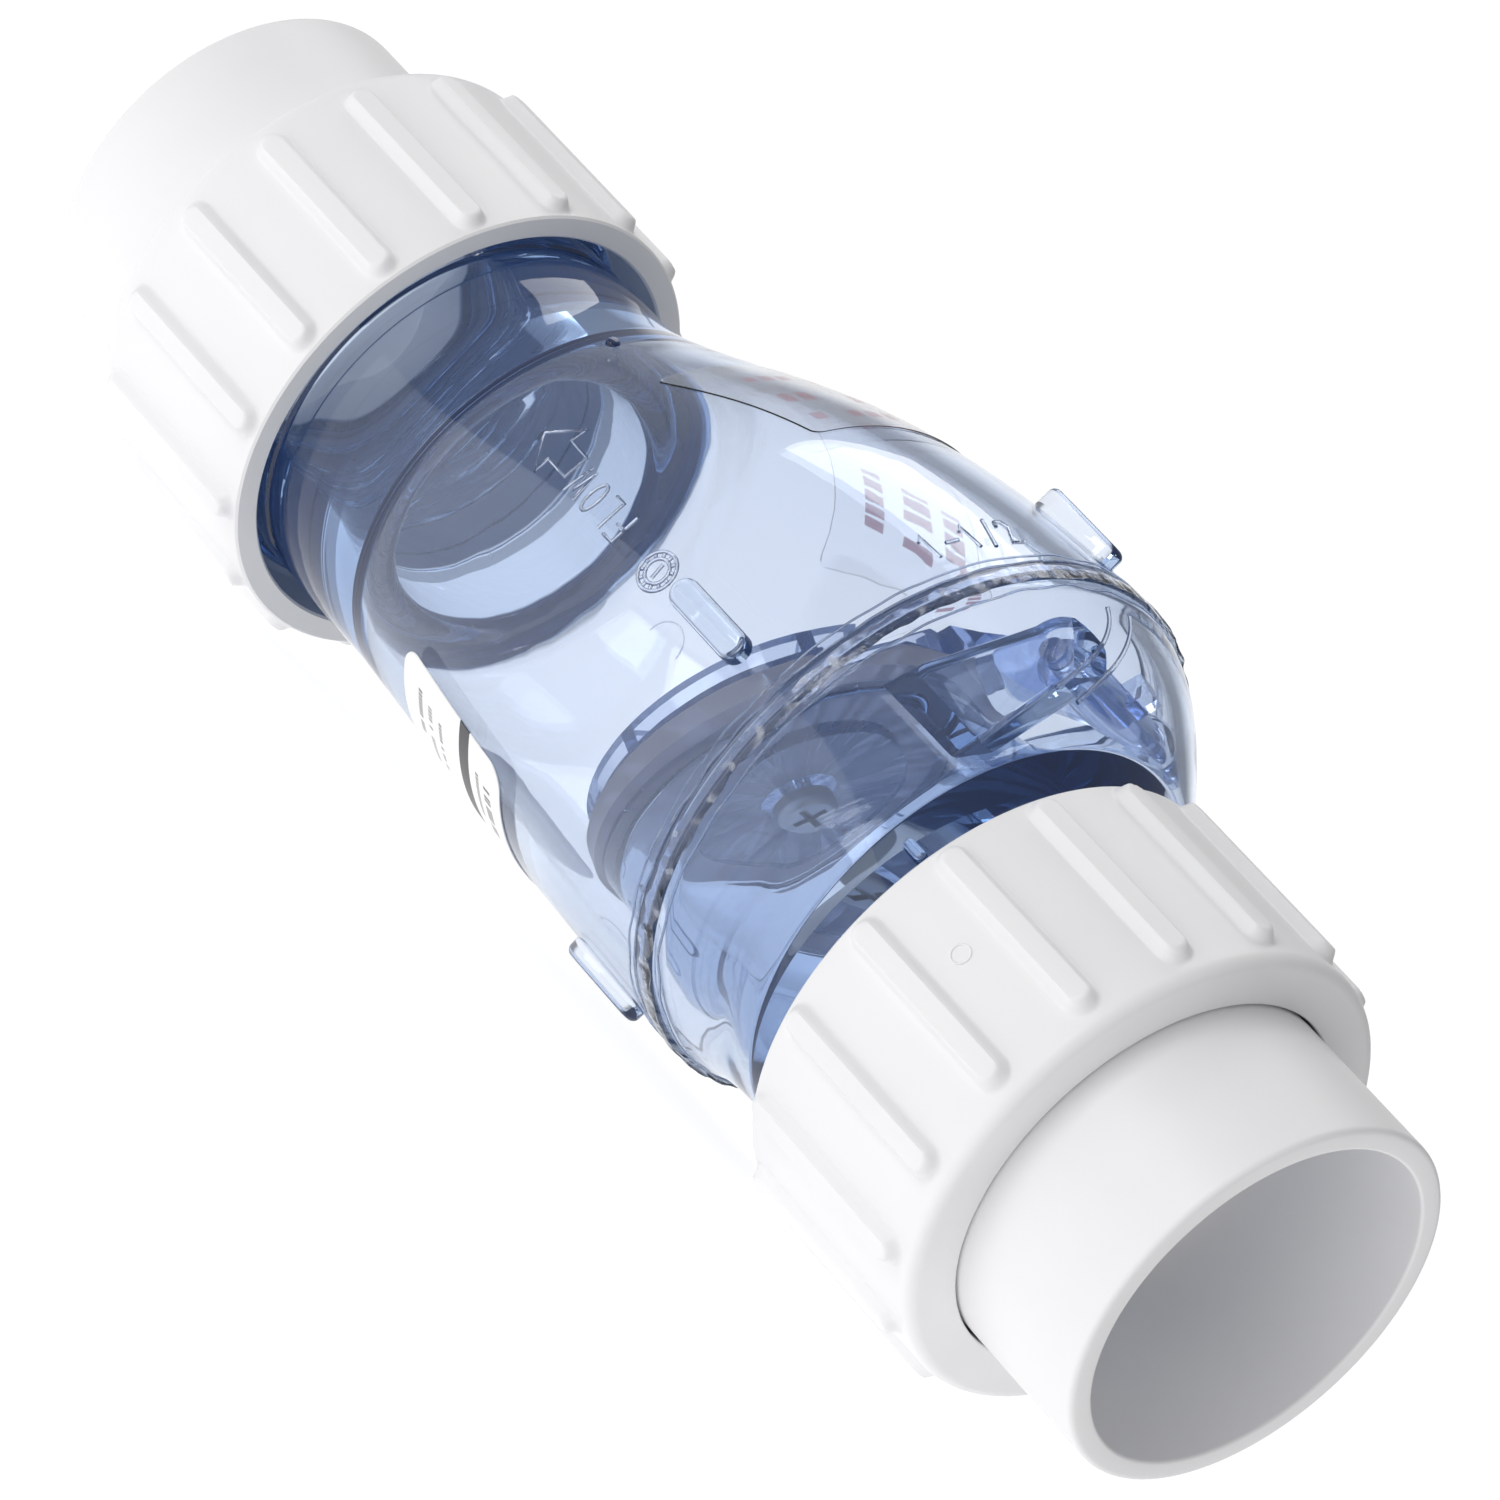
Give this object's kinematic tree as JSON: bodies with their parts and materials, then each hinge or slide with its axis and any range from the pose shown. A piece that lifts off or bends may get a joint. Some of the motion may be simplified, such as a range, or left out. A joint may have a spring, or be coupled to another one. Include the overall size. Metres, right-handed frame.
{
  "type": "check valve",
  "caption": "Clear plastic swing check valve with a gravity-closed flapper seen inside, ribbed union nuts and a pipe socket at each end.",
  "frame": {"origin": "centre of the inlet socket's mouth, on the pipe axis", "axes": "+X along the pipe the way the water flows, +Z to the hinge side, where the body bulges"},
  "size_m": [0.2336, 0.085, 0.0869],
  "materials": {
    "clear_pvc": "clear, faintly blue, moulded",
    "white_pvc": "moulded, satin",
    "rubber": "moulded, matte",
    "stainless_steel": "bright",
    "solvent_cement": "dried, glossy, bubbly",
    "label_paper": "coated, printed bars",
    "label_film": "transparent film, faint red print"
  },
  "bodies": {
    "valve_body": {"inlet_body": "clear_pvc", "outlet_body": "clear_pvc", "cement_bead": "solvent_cement", "hinge_pin": "clear_pvc", "inlet_oring": "rubber", "outlet_oring": "rubber", "white_label": "label_paper", "clear_label": "label_film"},
    "flapper": {"flapper_arm": "clear_pvc", "flapper_seal": "rubber", "seal_retainer": "clear_pvc", "retainer_screw": "stainless_steel"},
    "inlet_connector": {"inlet_connector": "white_pvc"},
    "outlet_connector": {"outlet_connector": "white_pvc"},
    "inlet_nut": {"inlet_nut": "white_pvc"},
    "outlet_nut": {"outlet_nut": "white_pvc"}
  },
  "joints": [
    {"name": "flapper_swing", "type": "hinge", "parent": "valve_body", "child": "flapper", "pos_m": [0.0766, 0, 0.0352], "axis": [0, -1, 0], "range_deg": [0, 38]},
    {"name": "inlet_union_slide", "type": "slide", "parent": "valve_body", "child": "inlet_connector", "axis": [-1, 0, 0], "range_m": [0, 0.016]},
    {"name": "inlet_nut_turn", "type": "hinge", "parent": "inlet_connector", "child": "inlet_nut", "pos_m": [0.04, 0, 0], "axis": [-1, 0, 0], "range_deg": [0, 1440]},
    {"name": "outlet_union_slide", "type": "slide", "parent": "valve_body", "child": "outlet_connector", "axis": [1, 0, 0], "range_m": [0, 0.016]},
    {"name": "outlet_nut_turn", "type": "hinge", "parent": "outlet_connector", "child": "outlet_nut", "pos_m": [0.1936, 0, 0], "axis": [1, 0, 0], "range_deg": [0, 1440]}
  ],
  "couplings": [
    {"joint": "inlet_union_slide", "follows": "inlet_nut_turn", "m_per_rad": 0.00063662},
    {"joint": "outlet_union_slide", "follows": "outlet_nut_turn", "m_per_rad": 0.00063662}
  ]
}
